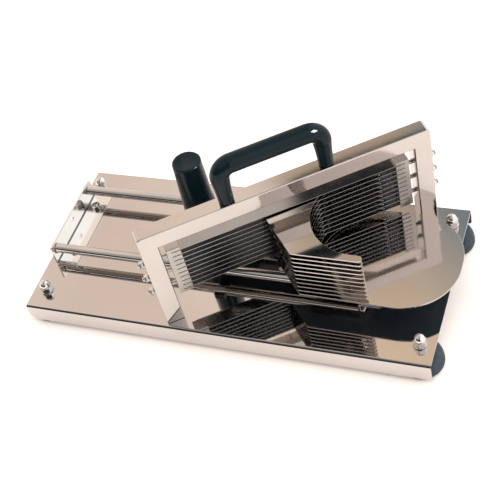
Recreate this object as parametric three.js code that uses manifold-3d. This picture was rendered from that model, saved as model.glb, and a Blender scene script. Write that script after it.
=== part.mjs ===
import * as THREE from "three";
import { mergeVertices } from "three/addons/utils/BufferGeometryUtils.js";
import Module from "manifold-3d";

// Manual food slicer: a stack of pusher plates slides along two rods and between
// the blades of a slanted frame. Millimetres, +Z up, +X the way the pusher cuts.
// The origin lies on the bench under the middle of the base.

// Clearances and facet size
const seat = 0.3; // between pieces that rest on or fit in each other
const runningGap = 0.25; // radial, slide blocks on the guide rods
const passGap = 1.2; // between the carriage plate and what it passes over
const chordError = 0.25; // most that a faceted arc departs from its curve
const rodSides = 20;
const screwSides = 10;
const footSides = 20;

// Driving dimensions
const base = { length: 430, width: 200, sheet: 1.5, flange: 21, bend: 3, leftCorner: 10, rightCorner: 3 };
const foot = { height: 25.2, rim: 22, rimFlat: 5, rimRound: 3, rimLip: 4, hollow: 3, neck: 11.5, neckHeight: 5,
  fromEnd: 15, fromSide: 24, stud: 4, studRise: 9 };
const footNut = { flats: 12, hexHeight: 6.5, collar: 6.8, collarHeight: 1.2, domeHeight: 6.4 };
const rod = { radius: 5, rise: 17.2, spread: 85.7, offset: 11.65, screwDepth: 14 };
const rodScrew = { radius: 3, length: 12, head: 5.5, headHeight: 3.5 };
const bracket = { sheet: 2, width: 103, foot: 24, bend: 3, leftFromEnd: 9.5, rightFromEnd: 85, eyelet: 2.5,
  boltSpread: 63.7, boltFromFace: 13 };
const bracketBolt = { radius: 2.5, head: 4.6, headHeight: 3, flats: 9, nutHeight: 4, tail: 1.5 };
const frame = { face: 18, depth: 17, wall: 2, endPlate: 4, corner: 4, headroom: 13.8, fromSide: 4.15,
  fromEnd: 42.5, angle: THREE.MathUtils.degToRad(37) };
const frameScrew = { radius: 3, head: 5.5, headHeight: 3.2, reach: 7 };
const blade = { count: 10, pitch: 6, thickness: 0.7, width: 16, setback: 0.5, bevel: 1.5 };
const holder = { width: 14, depth: 13, margin: 4, setback: 5, postGap: 5, slotDepth: 9.5, slotGap: 0.25 };
const tension = { spread: 20, radius: 2.5, reach: 4, flats: 7.5, hexHeight: 4, washer: 4.6, washerHeight: 0.8,
  tail: 2 };
const handle = { span: 100.4, rise: 42.6, radius: 9.2, bend: 17, offset: -5.2, stud: 3, studLength: 9,
  sides: 12, steps: 26 };

// The pusher's places along X are counted from the middle of the blade frame
const plate = { thickness: 1.5, sideGap: 2.8, finger: 7.3, fingerReach: 11.3, tipRound: 3.5, rearReach: 2.2, rearRound: 1,
  bayFloor: 23.2, shoulder: 18, shoulderRound: 3, cornerRound: 6, back: 34.6, flank: THREE.MathUtils.degToRad(132.5) };
const carriage = { sheet: 2, rise: 25.2, overhang: 3, lead: 16.7, noseRound: 56, leftEnd: -123.5, frontStep: 40,
  rearStep: 20, tailRound: 10, innerRound: 4 };
const slide = { left: -87.5, right: 18.5, leftLength: 11, rightLength: 20, saddle: 7.5, bodyFrom: 12, margin: 11,
  drop: 8.2, peg: 3, leftSpread: 50, rightSpread: 72 };
const grip = { x: -102.1, radius: 14.6, foot: 17.6, length: 97.5, chamfer: 1.6, stud: 4, flats: 12, nutHeight: 5,
  tail: 2 };
const post = { radius: 3.5, ring: 6, inset: 7, fromHeel: 12, fromRear: 18.5, flats: 10, hexHeight: 4 };

// Levels that follow from them
const baseTop = foot.height + seat + base.sheet;
const rodZ = baseTop + rod.rise;
const carriageTop = baseTop + carriage.rise + carriage.sheet;
const carriageMiddle = carriageTop - carriage.sheet / 2;
const bracketHeight = carriage.rise - passGap;
const plateCount = blade.count;
const plateZ = (i) => carriageMiddle + blade.pitch * (i + 1);
const bladeZ = (i) => plateZ(i) + blade.pitch / 2;
const packZ = (bladeZ(0) + bladeZ(blade.count - 1)) / 2;
const packHeight = blade.pitch * (blade.count - 1) + 2 * holder.margin;
const frameHeight = packZ + packHeight / 2 - baseTop + frame.headroom + frame.face;

// Places along and across the base, and along the slanted frame
const slantX = Math.cos(frame.angle);
const slantY = Math.sin(frame.angle);
const rodYs = { front: rod.offset - rod.spread / 2, rear: rod.offset + rod.spread / 2 };
const bracketXs = {
  left: bracket.leftFromEnd - base.length / 2,
  right: base.length / 2 - bracket.rightFromEnd,
};
const frameLength = (base.width - 2 * frame.fromSide - frame.depth * slantX) / slantY;
const postMiddle = (frameLength - frame.face) / 2;
const frameX = base.length / 2 - frame.fromEnd - postMiddle * slantX;
const postFace = frameLength / 2 - frame.face;
const holderOuter = postFace - holder.postGap;
const holderInner = holderOuter - holder.width;
const holderMiddle = holder.setback + (holder.depth - frame.depth) / 2;
const pusherY = holderMiddle * slantX; // midway between the holders as the pusher passes them
const plateHalf = holderInner * slantY - (holder.depth / 2) * slantX - plate.sideGap;
const carriageHalf = plateHalf + carriage.overhang;
const bay = plateHalf - plate.finger;
const plateTip = plate.bayFloor + bay + plate.fingerReach;
const rearTip = plate.bayFloor + bay + plate.rearReach;

// Materials
const metal = (color, roughness) => new THREE.MeshStandardMaterial({ color, roughness, metalness: 1 });
const moulded = (color, roughness) => new THREE.MeshStandardMaterial({ color, roughness, metalness: 0 });
const mirrorSteel = metal(0xd8cbc2, 0.12);
const frameSteel = metal(0xe3d8d0, 0.18);
const rodSteel = metal(0xd2cdc8, 0.15);
const bladeSteel = metal(0xa9abad, 0.25);
const plateSteel = metal(0xc9c4bf, 0.18);
const nutSteel = metal(0xdcdcdc, 0.1);
const blackGloss = moulded(0x14191c, 0.3);
const blackSlide = moulded(0x1b1c1e, 0.55);
const greyRubber = moulded(0x47525b, 0.8);

const wasm = await Module();
wasm.setup();

// A closed geometry as a solid that can be joined and cut.
function solidOf(geometry) {
  const loose = geometry.index ? geometry.toNonIndexed() : geometry;
  const bare = new THREE.BufferGeometry();
  bare.setAttribute("position", loose.getAttribute("position").clone());
  const merged = mergeVertices(bare, 1e-4);
  const vertProperties = merged.getAttribute("position").array;
  const triVerts = new Uint32Array(merged.index.array);
  return new wasm.Manifold(new wasm.Mesh({ numProp: 3, vertProperties, triVerts }));
}

function geometryOf(solid) {
  const { vertProperties, triVerts } = solid.getMesh();
  const indexed = new THREE.BufferGeometry();
  indexed.setAttribute("position", new THREE.BufferAttribute(vertProperties, 3));
  indexed.setIndex(new THREE.BufferAttribute(triVerts, 1));
  const geometry = indexed.toNonIndexed();
  geometry.computeVertexNormals();
  return geometry;
}

const cut = (geometry, tools) =>
  geometryOf(tools.reduce((solid, tool) => solid.subtract(solidOf(tool)), solidOf(geometry)));
const join = (geometries) =>
  geometryOf(geometries.slice(1).reduce((solid, other) => solid.add(solidOf(other)), solidOf(geometries[0])));

// Points round a closed outline of corners [x, y, radius], listed anticlockwise.
function roundedPoints(corners) {
  return corners.flatMap(([x, y, radius = 0], i) => {
    const corner = new THREE.Vector2(x, y);
    if (!radius) return [corner];
    const [beforeX, beforeY] = corners.at(i - 1);
    const [afterX, afterY] = corners[(i + 1) % corners.length];
    const toBefore = new THREE.Vector2(beforeX, beforeY).sub(corner).normalize();
    const toAfter = new THREE.Vector2(afterX, afterY).sub(corner).normalize();
    const halfAngle = Math.acos(toBefore.dot(toAfter)) / 2;
    const inward = toBefore.clone().add(toAfter).normalize();
    const centre = inward.multiplyScalar(radius / Math.sin(halfAngle)).add(corner);
    const start = toBefore.multiplyScalar(radius / Math.tan(halfAngle)).add(corner).sub(centre);
    const sweep = (Math.PI - 2 * halfAngle) * Math.sign(start.cross(corner.clone().sub(centre)));
    const steps = Math.max(2, Math.ceil(Math.abs(sweep) / arcStep(radius)));
    return Array.from({ length: steps + 1 }, (_, k) =>
      start.clone().rotateAround(new THREE.Vector2(), (sweep * k) / steps).add(centre));
  });
}

function arcStep(radius) {
  return 2 * Math.acos(1 - Math.min(chordError / radius, 0.3));
}

function circlePoints(x, y, radius, sides) {
  return Array.from({ length: sides }, (_, k) => {
    const turn = (2 * Math.PI * k) / sides;
    return new THREE.Vector2(x + radius * Math.cos(turn), y + radius * Math.sin(turn));
  });
}

// A sheet of an outline, from z = 0 up, with round holes [x, y, radius].
function sheet(outline, thickness, holes = []) {
  const shape = new THREE.Shape(outline);
  shape.holes = holes.map(([x, y, radius]) => new THREE.Path(circlePoints(x, y, radius, screwSides)));
  return new THREE.ExtrudeGeometry(shape, { depth: thickness, bevelEnabled: false });
}

// A profile drawn in Y and Z, pulled along X and centred there.
function pulledAlongX(outline, length) {
  const pulled = new THREE.ExtrudeGeometry(new THREE.Shape(outline), { depth: length, bevelEnabled: false });
  const axes = [[0, 1, 0], [0, 0, 1], [1, 0, 0]].map((axis) => new THREE.Vector3(...axis));
  return pulled.applyMatrix4(new THREE.Matrix4().makeBasis(...axes)).translate(-length / 2, 0, 0);
}

// A profile drawn in X and Z, pulled along Y and centred there.
function pulledAlongY(outline, length) {
  const pulled = new THREE.ExtrudeGeometry(new THREE.Shape(outline), { depth: length, bevelEnabled: false });
  return pulled.rotateX(Math.PI / 2).translate(0, length / 2, 0);
}

// A turned piece about Z, its profile [radius, z] listed from the bottom up.
function turned(profile, sides) {
  const points = profile.map(([radius, z]) => new THREE.Vector2(radius, z));
  return new THREE.LatheGeometry(points, sides).rotateX(Math.PI / 2);
}

// A round bar or hole along Z from one level to another.
function bar(radius, from, to, sides = screwSides) {
  return turned([[0, from], [radius, from], [radius, to], [0, to]], sides);
}

// Corner radius of a faceted hole that clears a round shank all round.
const holeRadius = (shank) => (shank + seat) / Math.cos(Math.PI / screwSides);
const hexagon = (flats, from, to) => bar(flats / Math.sqrt(3), from, to, 6);
const alongX = (geometry) => geometry.rotateY(Math.PI / 2);

const slicer = new THREE.Group();
const bladeUnit = new THREE.Group();
bladeUnit.position.set(frameX, 0, baseTop);
bladeUnit.rotation.z = frame.angle;
const pusher = new THREE.Group();
pusher.position.x = frameX;
slicer.add(bladeUnit, pusher);

function place(group, name, geometry, material, x = 0, y = 0, z = 0) {
  const mesh = new THREE.Mesh(geometry, material);
  mesh.name = name;
  mesh.position.set(x, y, z);
  group.add(mesh);
  return mesh;
}

// A point along the blades and behind the frame's middle, as X and Y from that middle.
function bladePoint(along, behind) {
  return new THREE.Vector2(along, behind).rotateAround(new THREE.Vector2(), frame.angle);
}

// Places of the fasteners that go through the base
const footX = base.length / 2 - foot.fromEnd;
const footY = base.width / 2 - foot.fromSide;
const corners = [["front_left", -1, -1], ["front_right", 1, -1], ["rear_left", -1, 1], ["rear_right", 1, 1]];
const ends = { left: -1, right: 1 };
const bracketBoltYs = {
  front: rod.offset - bracket.boltSpread / 2,
  rear: rod.offset + bracket.boltSpread / 2,
};

// Base plate
const halfWidth = base.width / 2;
const basePlate = pulledAlongX(roundedPoints([
  [-halfWidth, -base.flange],
  [-halfWidth + base.sheet, -base.flange],
  [-halfWidth + base.sheet, -base.sheet, base.bend - base.sheet],
  [halfWidth - base.sheet, -base.sheet, base.bend - base.sheet],
  [halfWidth - base.sheet, -base.flange],
  [halfWidth, -base.flange],
  [halfWidth, 0, base.bend],
  [-halfWidth, 0, base.bend],
]), base.length);

// The waste outside a flange's rounded lower corner, at the base's end on that side.
function flangeTrim(side, radius) {
  const over = 2;
  const sides = 4 * Math.ceil(Math.PI / 2 / arcStep(radius));
  const rounding = circlePoints(side * (base.length / 2 - radius), radius - base.flange, radius, sides);
  const block = new THREE.BoxGeometry(radius + over, base.width + 2 * over, radius + over);
  block.translate(side * (base.length / 2 - (radius - over) / 2), 0, (radius - over) / 2 - base.flange);
  return cut(block, [pulledAlongY(rounding, base.width + 4 * over)]);
}

const baseHole = (x, y, shank) => bar(holeRadius(shank), -2 * base.sheet, base.sheet).translate(x, y, 0);
const baseHoles = [
  ...corners.map(([, sideX, sideY]) => baseHole(sideX * footX, sideY * footY, foot.stud)),
  ...Object.keys(ends).flatMap((end) => Object.values(bracketBoltYs).map((y) =>
    baseHole(bracketXs[end] + bracket.boltFromFace, y, bracketBolt.radius))),
  ...Object.values(ends).map((side) => bladePoint(side * postMiddle, 0))
    .map(({ x, y }) => baseHole(frameX + x, y, frameScrew.radius)),
];
place(slicer, "base_plate", cut(basePlate, [
  ...baseHoles, flangeTrim(-1, base.leftCorner), flangeTrim(1, base.rightCorner),
]), mirrorSteel, 0, 0, baseTop);

// Feet: rubber cups with a stud through the base, and a domed nut on each stud
const rimInner = foot.rim - foot.rimFlat;
const neckFoot = foot.height - foot.neckHeight;
const studTop = baseTop + foot.studRise;
const footProfile = [
  [0, foot.hollow], [rimInner - foot.hollow, foot.hollow], [rimInner, 0], [foot.rim - foot.rimRound, 0],
  [foot.rim - 0.3 * foot.rimRound, 0.3 * foot.rimRound], [foot.rim, foot.rimRound], [foot.rim, foot.rimLip],
  ...[0.25, 0.5, 0.75, 1].map((t) => {
    const swell = Math.sin((t * Math.PI) / 2);
    return [foot.rim - (foot.rim - foot.neck) * (1 - Math.cos((t * Math.PI) / 2)),
      foot.rimLip + (neckFoot - foot.rimLip) * swell];
  }),
  [foot.neck, foot.height], [foot.stud, foot.height], [foot.stud, studTop], [0, studTop],
];
const nutTop = footNut.collarHeight + footNut.hexHeight + footNut.domeHeight;
const domeStart = footNut.collarHeight + footNut.hexHeight;
const domeRadius = footNut.flats / 2 - 0.3;
const nutDome = turned([
  [0, footNut.collarHeight], [domeRadius, footNut.collarHeight], [domeRadius, domeStart],
  ...[0.3, 0.6, 0.85].map((t) => [domeRadius * Math.cos((t * Math.PI) / 2),
    domeStart + footNut.domeHeight * Math.sin((t * Math.PI) / 2)]),
  [0, nutTop],
], screwSides);
const nutBlank = join([
  bar(footNut.collar, 0, footNut.collarHeight, footSides),
  hexagon(footNut.flats, footNut.collarHeight - 0.2, domeStart),
  nutDome,
]);
const nutBore = bar(holeRadius(foot.stud), -seat, foot.studRise);
corners.forEach(([corner, sideX, sideY]) => {
  const x = sideX * footX;
  const y = sideY * footY;
  place(slicer, `foot_${corner}`, turned(footProfile, footSides), greyRubber, x, y);
  place(slicer, `foot_nut_${corner}`, cut(nutBlank, [nutBore]), nutSteel, x, y, baseTop + seat);
});

// Rod brackets: folded angles, each with two rod holes, an eyelet and two foot bolts
const bracketSection = pulledAlongY(roundedPoints([
  [0, 0, bracket.bend],
  [bracket.foot, 0],
  [bracket.foot, bracket.sheet],
  [bracket.sheet, bracket.sheet, bracket.bend - bracket.sheet],
  [bracket.sheet, bracketHeight],
  [0, bracketHeight],
]), bracket.width);
const bracketHoles = [
  ...[-1, 1].map((side) => alongX(bar(holeRadius(rodScrew.radius), -bracket.sheet, 2 * bracket.sheet))
    .translate(0, (side * rod.spread) / 2, rod.rise - seat)),
  alongX(bar(bracket.eyelet, -bracket.sheet, 2 * bracket.sheet)).translate(0, 0, rod.rise - seat),
  ...[-1, 1].map((side) => bar(holeRadius(bracketBolt.radius), -bracket.sheet, 2 * bracket.sheet)
    .translate(bracket.boltFromFace, (side * bracket.boltSpread) / 2, 0)),
];
const boltTop = seat + bracket.sheet + seat;
const bracketBoltBlank = join([
  bar(bracketBolt.head, -base.sheet - seat - bracketBolt.headHeight, -base.sheet - seat),
  bar(bracketBolt.radius, -base.sheet - seat - 1, boltTop + bracketBolt.nutHeight + bracketBolt.tail),
  hexagon(bracketBolt.flats, boltTop, boltTop + bracketBolt.nutHeight),
]);
Object.keys(ends).forEach((end) => {
  place(slicer, `rod_bracket_${end}`, cut(bracketSection, bracketHoles), frameSteel,
    bracketXs[end], rod.offset, baseTop + seat);
  Object.entries(bracketBoltYs).forEach(([row, y]) => place(slicer, `bracket_bolt_${end}_${row}`,
    bracketBoltBlank.clone(), nutSteel, bracketXs[end] + bracket.boltFromFace, y, baseTop));
});

// Guide rods, tapped at both ends, and their button-head screws
const rodFrom = bracketXs.left + bracket.sheet + seat;
const rodTo = bracketXs.right - seat;
const screwBore = bar(holeRadius(rodScrew.radius), -rod.screwDepth, rod.screwDepth);
const rodBlank = cut(bar(rod.radius, rodFrom, rodTo, rodSides), [
  screwBore.clone().translate(0, 0, rodFrom), screwBore.clone().translate(0, 0, rodTo),
]);
const rodScrewBlank = turned([
  [0, -rodScrew.length], [rodScrew.radius, -rodScrew.length], [rodScrew.radius, 0], [rodScrew.head, 0],
  [rodScrew.head, rodScrew.headHeight * 0.35], [rodScrew.head * 0.8, rodScrew.headHeight * 0.8],
  [rodScrew.head * 0.45, rodScrew.headHeight], [0, rodScrew.headHeight],
], screwSides);
Object.entries(rodYs).forEach(([row, y]) => {
  place(slicer, `guide_rod_${row}`, alongX(rodBlank.clone()), rodSteel, 0, y, rodZ);
  place(slicer, `rod_screw_${row}_left`, rodScrewBlank.clone().rotateY(-Math.PI / 2), nutSteel,
    bracketXs.left - seat, y, rodZ);
  place(slicer, `rod_screw_${row}_right`, alongX(rodScrewBlank.clone()), nutSteel,
    bracketXs.right + bracket.sheet + seat, y, rodZ);
});

// Blade frame: an upside-down U of square tube with closed feet, standing on the base
function archOutline(inset, floor) {
  const outer = frameLength / 2 - inset;
  const inner = postFace + inset;
  const top = frameHeight - inset;
  const under = frameHeight - frame.face + inset;
  const round = Math.max(frame.corner - inset, 0.5);
  return roundedPoints([
    [-outer, floor], [-inner, floor], [-inner, under], [inner, under], [inner, floor], [outer, floor],
    [outer, top, round], [-outer, top, round],
  ]);
}
const tensionZs = [-1, 0, 1].map((step) => packZ - baseTop + step * tension.spread);
const postHole = bar(holeRadius(tension.radius), -frame.face, frame.face);
const handleEnds = [handle.offset - handle.span / 2, handle.offset + handle.span / 2];
const frameBody = cut(pulledAlongY(archOutline(0, 0), frame.depth), [
  pulledAlongY(archOutline(frame.wall, frame.endPlate), frame.depth - 2 * frame.wall),
  ...Object.values(ends).flatMap((side) => tensionZs.map((z) =>
    alongX(postHole.clone()).translate(side * postMiddle, holderMiddle, z - seat))),
  ...Object.values(ends).map((side) => bar(holeRadius(frameScrew.radius), -seat, 2 * frame.endPlate)
    .translate(side * postMiddle, 0, 0)),
  ...handleEnds.map((x) => bar(holeRadius(handle.stud), frameHeight - 2 * frame.wall, frameHeight + seat)
    .translate(x, 0, 0)),
]);
place(bladeUnit, "blade_frame", frameBody, frameSteel, 0, 0, seat);
const frameScrewBlank = turned([
  [0, -frameScrew.headHeight], [frameScrew.head * 0.7, -frameScrew.headHeight],
  [frameScrew.head, -frameScrew.headHeight * 0.4], [frameScrew.head, 0], [frameScrew.radius, 0],
  [frameScrew.radius, base.sheet + frameScrew.reach], [0, base.sheet + frameScrew.reach],
], screwSides);
Object.entries(ends).forEach(([end, side]) => place(bladeUnit, `frame_screw_${end}`, frameScrewBlank.clone(),
  nutSteel, side * postMiddle, 0, -base.sheet - seat));

// Blade holders: slotted blocks drawn outwards by three tension screws each
const slotHeight = blade.thickness + 2 * holder.slotGap;
const holderSlots = Array.from({ length: blade.count }, (_, i) => {
  const slot = new THREE.BoxGeometry(2 * holder.slotDepth, holder.depth + 2, slotHeight);
  return slot.translate(holder.width / 2, 0, bladeZ(i) - packZ);
});
const holderTaps = [-1, 0, 1].map((step) => {
  const tap = alongX(bar(holeRadius(tension.radius), -1, tension.reach + seat));
  return tap.translate(-holder.width / 2, 0, step * tension.spread);
});
const holderBlock = new THREE.BoxGeometry(holder.width, holder.depth, packHeight);
const holderBlank = cut(holderBlock, [...holderSlots, ...holderTaps]);
const tensionReach = frame.face + holder.postGap + tension.reach;
const hexFrom = seat + tension.washerHeight;
const tensionBlank = join([
  bar(tension.radius, -tensionReach, hexFrom + tension.hexHeight + tension.tail),
  bar(tension.washer, seat, hexFrom),
  hexagon(tension.flats, hexFrom - 0.2, hexFrom + tension.hexHeight),
]);
Object.entries(ends).forEach(([end, side]) => {
  const block = place(bladeUnit, `blade_holder_${end}`, holderBlank.clone(), frameSteel,
    side * (holderOuter - holder.width / 2), holderMiddle, packZ - baseTop);
  block.rotation.z = side < 0 ? 0 : Math.PI;
  tensionZs.forEach((z, i) => {
    const screw = place(bladeUnit, `tension_screw_${end}_${i + 1}`, tensionBlank.clone(), nutSteel,
      (side * frameLength) / 2, holderMiddle, z);
    screw.rotation.y = (side * Math.PI) / 2;
  });
});

// Blades, ground on the edge that meets the food
const bladeLength = 2 * (holderInner + holder.slotDepth - seat);
const bladeMiddle = holderMiddle + blade.setback + (blade.width - holder.depth) / 2;
const bladeSection = [
  [-blade.width / 2, -blade.thickness / 2], [blade.width / 2 - blade.bevel, -blade.thickness / 2],
  [blade.width / 2, 0], [blade.width / 2 - blade.bevel, blade.thickness / 2],
  [-blade.width / 2, blade.thickness / 2],
].map(([y, z]) => new THREE.Vector2(y, z));
const numbered = (name, i) => `${name}_${String(i + 1).padStart(2, "0")}`;
for (let i = 0; i < blade.count; i++) {
  place(bladeUnit, numbered("blade", i), pulledAlongX(bladeSection, bladeLength), bladeSteel,
    0, bladeMiddle, bladeZ(i) - baseTop);
}

// Carrying handle: a round bow on the frame's top rail, with a stud in each foot
const bowPoint = (x, z) => new THREE.Vector3(x, 0, z);
const bowHalf = handle.span / 2;
const barEnd = bowHalf - handle.bend;
const legTop = handle.rise - handle.bend;
const bow = new THREE.CurvePath();
bow.add(new THREE.LineCurve3(bowPoint(-bowHalf, 0), bowPoint(-bowHalf, legTop)));
bow.add(new THREE.QuadraticBezierCurve3(
  bowPoint(-bowHalf, legTop), bowPoint(-bowHalf, handle.rise), bowPoint(-barEnd, handle.rise)));
bow.add(new THREE.LineCurve3(bowPoint(-barEnd, handle.rise), bowPoint(barEnd, handle.rise)));
bow.add(new THREE.QuadraticBezierCurve3(
  bowPoint(barEnd, handle.rise), bowPoint(bowHalf, handle.rise), bowPoint(bowHalf, legTop)));
bow.add(new THREE.LineCurve3(bowPoint(bowHalf, legTop), bowPoint(bowHalf, 0)));
const bowSection = new THREE.Shape(circlePoints(0, 0, handle.radius, handle.sides));
const bowBody = new THREE.ExtrudeGeometry(bowSection, { steps: handle.steps, extrudePath: bow });
const bowStuds = [-bowHalf, bowHalf].map((x) => bar(handle.stud, -handle.studLength, 1).translate(x, 0, 0));
place(bladeUnit, "carry_handle", join([bowBody, ...bowStuds]), blackGloss,
  handle.offset, 0, frameHeight + 2 * seat);

// Pusher plates: each has a round bay between a long finger and a short one, and its
// back edge runs parallel to the blades
const backStart = bladePoint(0, plate.back);
const backAt = (y) => backStart.x + ((y - backStart.y) * slantX) / slantY;
const backAlong = (y) => (y - backStart.y) / slantY;
const plateFront = pusherY - plateHalf;
const plateRear = pusherY + plateHalf;
const flankAt = (y) => plate.shoulder + (y - plateFront) / Math.tan(plate.flank);
const heelY = (flankAt(0) - backAt(0)) / (slantX / slantY - 1 / Math.tan(plate.flank));
const plateOutline = roundedPoints([
  [plate.shoulder, plateFront, plate.shoulderRound],
  [plateTip, plateFront, plate.tipRound],
  [plateTip, pusherY - bay, plate.tipRound],
  [plate.bayFloor, pusherY - bay, bay],
  [plate.bayFloor, pusherY + bay, bay],
  [rearTip, pusherY + bay, plate.rearRound],
  [rearTip, plateRear, plate.rearRound],
  [backAt(plateRear), plateRear, plate.cornerRound],
  [backAt(heelY), heelY, plate.cornerRound],
]);
const postPoints = {
  front: bladePoint(backAlong(heelY) + post.fromHeel, plate.back - post.inset),
  rear: bladePoint(backAlong(plateRear) - post.fromRear, plate.back - post.inset),
};
const postHoles = Object.values(postPoints).map(({ x, y }) => [x, y, holeRadius(post.radius)]);
for (let i = 0; i < plateCount; i++) {
  place(pusher, numbered("pusher_plate", i), sheet(plateOutline, plate.thickness, postHoles), plateSteel,
    0, 0, plateZ(i) - plate.thickness / 2);
}

// Carriage plate: carries the stack, widens to a round nose and reaches back to the grip
const nose = plateTip + carriage.lead + carriageHalf;
const tailFront = pusherY - carriageHalf + carriage.frontStep;
const tailRear = pusherY + carriageHalf - carriage.rearStep;
const carriageOutline = roundedPoints([
  [carriage.leftEnd, tailFront, carriage.tailRound],
  [flankAt(tailFront), tailFront, carriage.innerRound],
  [plate.shoulder, plateFront, plate.shoulderRound],
  [nose, pusherY - carriageHalf, carriage.noseRound],
  [nose, pusherY + carriageHalf, carriage.noseRound],
  [backAt(plateRear), plateRear, plate.cornerRound],
  [backAt(tailRear), tailRear, plate.cornerRound],
  [carriage.leftEnd, tailRear, carriage.tailRound],
]);
const slideMiddle = (end) => slide[end] + slide[`${end}Length`] / 2;
const pegYs = (end) => [-1, 1].map((side) => (side * slide[`${end}Spread`]) / 2);
const pegHoles = Object.keys(ends).flatMap((end) => pegYs(end).map((y) =>
  [slideMiddle(end), rod.offset + y, holeRadius(slide.peg)]));
const gripHole = [grip.x, rod.offset, holeRadius(grip.stud)];
place(pusher, "carriage_plate", sheet(carriageOutline, carriage.sheet, [...postHoles, ...pegHoles, gripHole]),
  plateSteel, 0, 0, carriageTop - carriage.sheet);

// Slide blocks: cross bars under the carriage plate, bored for the rear rod and
// saddled over the front one
const slideTop = carriage.rise - rod.rise - seat;
const slideRear = rod.spread / 2 + slide.margin;
const bodyFront = slide.bodyFrom - rod.spread / 2;
const slideSection = roundedPoints([
  [-rod.spread / 2 - slide.saddle, 0],
  [bodyFront, 0],
  [bodyFront, -slide.drop],
  [slideRear, -slide.drop],
  [slideRear, slideTop],
  [-rod.spread / 2 - slide.saddle, slideTop],
]);
Object.keys(ends).forEach((end) => {
  const length = slide[`${end}Length`];
  const slidePegs = pegYs(end).map((y) => bar(slide.peg, slideTop - 1, slideTop + seat + carriage.sheet)
    .translate(0, y, 0));
  const bores = [-1, 1].map((side) => alongX(bar(rod.radius + runningGap, -length, length, rodSides))
    .translate(0, (side * rod.spread) / 2, 0));
  const body = join([pulledAlongX(slideSection, length), ...slidePegs]);
  place(pusher, `slide_block_${end}`, cut(body, bores), blackSlide, slideMiddle(end), rod.offset, rodZ);
});

// Grip: an upright tapered handle whose stud goes through the carriage plate to a nut
const gripTop = seat + grip.length;
const nutFrom = -carriage.sheet - seat - grip.nutHeight;
const gripBody = turned([
  [0, nutFrom - grip.tail], [grip.stud, nutFrom - grip.tail], [grip.stud, seat], [grip.foot, seat],
  [grip.radius, gripTop - grip.chamfer], [grip.radius - grip.chamfer, gripTop], [0, gripTop],
], footSides);
place(pusher, "push_grip", join([gripBody, hexagon(grip.flats, nutFrom, nutFrom + grip.nutHeight)]), blackGloss,
  grip.x, rod.offset, carriageTop);

// Stack posts: a stem through every plate, with a spacer ring under each and a nut on top
const stackRise = (i) => plateZ(i) - plate.thickness / 2 - carriageTop;
const postProfile = [[0, seat - carriage.sheet], [post.radius, seat - carriage.sheet]];
let ringFrom = seat;
for (let i = 0; i < plateCount; i++) {
  const ringTo = stackRise(i) - seat;
  postProfile.push([post.radius, ringFrom], [post.ring, ringFrom]);
  postProfile.push([post.ring, ringTo], [post.radius, ringTo]);
  ringFrom = stackRise(i) + plate.thickness + seat;
}
const postTop = ringFrom + post.hexHeight;
postProfile.push([post.radius, postTop], [0, postTop]);
const postBlank = join([turned(postProfile, screwSides), hexagon(post.flats, ringFrom, postTop - 0.5)]);
Object.entries(postPoints).forEach(([row, { x, y }]) => {
  place(pusher, `stack_post_${row}`, postBlank.clone(), nutSteel, x, y, carriageTop);
});

export default slicer;
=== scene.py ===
from math import cos, pi, radians, sin, sqrt, tan

import bmesh
import bpy
from mathutils import Euler, Matrix, Vector


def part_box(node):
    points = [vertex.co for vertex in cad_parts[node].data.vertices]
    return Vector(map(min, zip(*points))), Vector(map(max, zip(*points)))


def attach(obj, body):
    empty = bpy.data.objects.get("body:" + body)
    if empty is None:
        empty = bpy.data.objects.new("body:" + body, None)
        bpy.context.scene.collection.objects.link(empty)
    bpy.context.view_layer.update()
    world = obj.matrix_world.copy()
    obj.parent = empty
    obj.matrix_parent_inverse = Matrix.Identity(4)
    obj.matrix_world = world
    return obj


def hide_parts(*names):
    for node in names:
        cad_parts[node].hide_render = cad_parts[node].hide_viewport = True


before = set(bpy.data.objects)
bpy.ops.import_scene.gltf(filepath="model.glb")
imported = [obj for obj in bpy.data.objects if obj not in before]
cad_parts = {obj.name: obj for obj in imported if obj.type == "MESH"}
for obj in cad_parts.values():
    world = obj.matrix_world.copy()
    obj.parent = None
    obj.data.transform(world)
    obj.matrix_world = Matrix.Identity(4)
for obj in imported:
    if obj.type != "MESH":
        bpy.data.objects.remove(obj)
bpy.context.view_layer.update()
scene = bpy.context.scene

# Pieces are modelled in millimetres and brought to metres when they are settled
metre = 0.001
seatGap = 0.3  # between a piece and what it seats on
overcut = 1  # how far a cutter stands past the piece
weld = 0.002  # points closer than this are merged
near = 0.01  # points closer than this to a side lie on it
rows = ("front", "rear")
ends = ("left", "right")
slant = {"angle": radians(37), "node": "blade_frame"}  # the blades' slant across the base


def boxOf(node):
    low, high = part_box(node)
    return Vector(low) / metre, Vector(high) / metre


def middleOf(node):
    low, high = boxOf(node)
    return (low + high) / 2


baseTop = boxOf("base_plate")[1].z
slantMiddle = middleOf(slant["node"]).to_2d()
rods = [middleOf("guide_rod_" + row) for row in rows]


# Modelling helpers

# Least turn in degrees, from face to face, of an edge that gets rounded
plainEdge = 40
turnedEdge = 50
sheetEdge = 60
outlineArc = {"least": 8, "perMm": 0.6}  # segments of a corner, at least and for a millimetre of radius


def moveBy(bm, x, y, z):
    bmesh.ops.translate(bm, verts=bm.verts, vec=(x, y, z))


def turnBy(bm, angle, axis):
    bmesh.ops.rotate(bm, verts=bm.verts, cent=(0, 0, 0), matrix=Matrix.Rotation(angle, 3, axis))


def layAlongX(bm):
    turnBy(bm, pi / 2, "Y")


def layToEnd(bm, end):
    turnBy(bm, pi / 2 if end == "right" else -pi / 2, "Y")


def standAcross(bm):
    turnBy(bm, pi / 2, "X")
    turnBy(bm, pi / 2, "Z")


def slantInPlace(bm):
    turnBy(bm, slant["angle"], "Z")
    moveBy(bm, slantMiddle.x, slantMiddle.y, 0)


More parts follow.
